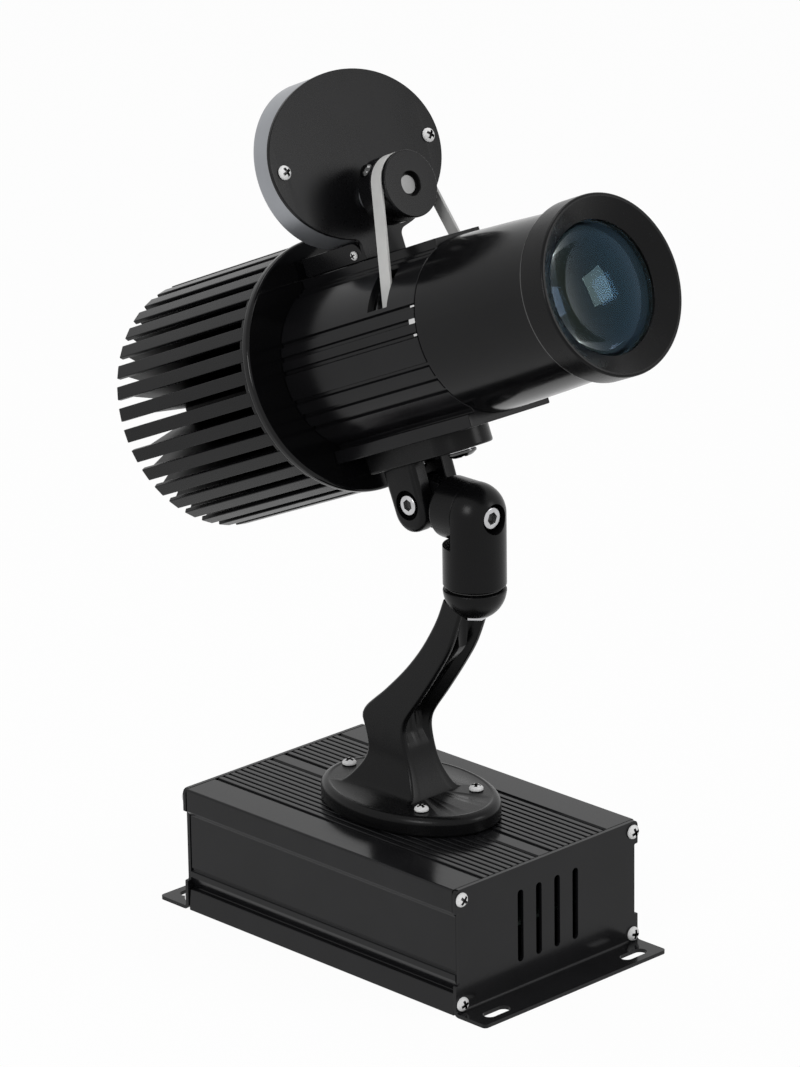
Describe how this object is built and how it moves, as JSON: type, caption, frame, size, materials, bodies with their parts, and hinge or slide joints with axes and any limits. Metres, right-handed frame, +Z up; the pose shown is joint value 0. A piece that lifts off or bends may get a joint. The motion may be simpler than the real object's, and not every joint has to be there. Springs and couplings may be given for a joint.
{
  "type": "gobo projector",
  "caption": "Jointed gobo projector: finned LED head, belt-turned gobo, focus barrel and motor on a curved arm over a vented driver box with slotted flanges.",
  "frame": {"origin": "middle of the driver box's flat underside", "axes": "+Z up, the lens looks towards -Y, the box's long side lies along Y, +X is to the right seen from the front"},
  "size_m": [0.097, 0.2408, 0.3296],
  "materials": {
    "anodised_black": "satin black anodised",
    "black_plastic": "semi-gloss moulded black",
    "coated_black": "semi-gloss black coat",
    "raw_aluminium": "machined",
    "silver_can": "satin plated",
    "bright_steel": "bright nickel plated",
    "grey_belt": "matt light grey",
    "circuit_board": "solder mask",
    "coated_glass": "polished, anti-reflection coated"
  },
  "bodies": {
    "base": {"base_housing": "anodised_black", "end_plate_front": "anodised_black", "end_plate_rear": "anodised_black", "driver_board": "circuit_board", "plate_screw_front_1": "bright_steel", "plate_screw_front_2": "bright_steel", "plate_screw_front_3": "bright_steel", "plate_screw_front_4": "bright_steel", "plate_screw_rear_1": "bright_steel", "plate_screw_rear_2": "bright_steel", "plate_screw_rear_3": "bright_steel", "plate_screw_rear_4": "bright_steel", "arm": "black_plastic", "arm_screw_1": "bright_steel", "arm_screw_2": "bright_steel", "arm_screw_3": "bright_steel", "pan_washer": "black_plastic", "pan_bolt": "bright_steel"},
    "elbow": {"elbow": "black_plastic", "roll_bolt": "bright_steel"},
    "knuckle": {"knuckle": "black_plastic"},
    "head": {"mount_fork": "black_plastic", "foot_screw_front": "bright_steel", "foot_screw_inner": "bright_steel", "tilt_bolt": "bright_steel", "tilt_nut": "bright_steel", "body_tube": "anodised_black", "rear_flange": "coated_black", "cage": "coated_black", "heat_sink": "anodised_black", "led_module": "raw_aluminium", "condenser_holder": "coated_black", "condenser_lens": "coated_glass", "gobo_bearing": "bright_steel", "belt": "grey_belt", "motor_bracket": "coated_black", "motor_block": "coated_black", "cheek_screw_left": "bright_steel", "cheek_screw_right": "bright_steel", "motor": "silver_can", "motor_screw_left": "bright_steel", "motor_screw_right": "bright_steel", "lens_barrel": "black_plastic"},
    "pulley": {"drive_pulley": "coated_black", "pulley_set_screw": "bright_steel", "motor_shaft": "bright_steel"},
    "rotor": {"gobo_rotor": "coated_black", "gobo": "bright_steel", "gobo_ring": "bright_steel"},
    "lens_cell": {"lens_cell": "coated_black", "front_lens": "coated_glass", "rear_lens": "coated_glass", "lens_retainer": "coated_black"},
    "focus_ring": {"focus_ring": "black_plastic"}
  },
  "joints": [
    {"name": "pan", "type": "hinge", "parent": "base", "child": "elbow", "pos_m": [0, -0.037, 0.144], "axis": [0, 0, 1], "range_deg": [-175, 175]},
    {"name": "roll", "type": "hinge", "parent": "elbow", "child": "knuckle", "pos_m": [0, -0.0363, 0.175], "axis": [0, 1, 0], "range_deg": [-90, 90]},
    {"name": "tilt", "type": "hinge", "parent": "knuckle", "child": "head", "pos_m": [0, -0.013, 0.175], "axis": [-1, 0, 0], "range_deg": [-21, 50]},
    {"name": "gobo_spin", "type": "hinge", "parent": "head", "child": "rotor", "pos_m": [0, 0.00904, 0.22692], "axis": [0, -0.9205, 0.3907], "continuous": true},
    {"name": "pulley_spin", "type": "hinge", "parent": "head", "child": "pulley", "pos_m": [0, 0.031, 0.27865], "axis": [0, -0.9205, 0.3907], "continuous": true},
    {"name": "focus_slide", "type": "slide", "parent": "head", "child": "lens_cell", "axis": [0, -0.9205, 0.3907], "range_m": [0, 0.008]},
    {"name": "focus_turn", "type": "hinge", "parent": "lens_cell", "child": "focus_ring", "pos_m": [0, 0.00904, 0.22692], "axis": [0, -0.9205, 0.3907], "range_deg": [0, 720]}
  ],
  "couplings": [
    {"joint": "pulley_spin", "follows": "gobo_spin", "ratio": 2.2857},
    {"joint": "focus_slide", "follows": "focus_turn", "m_per_rad": 0.0006366}
  ]
}
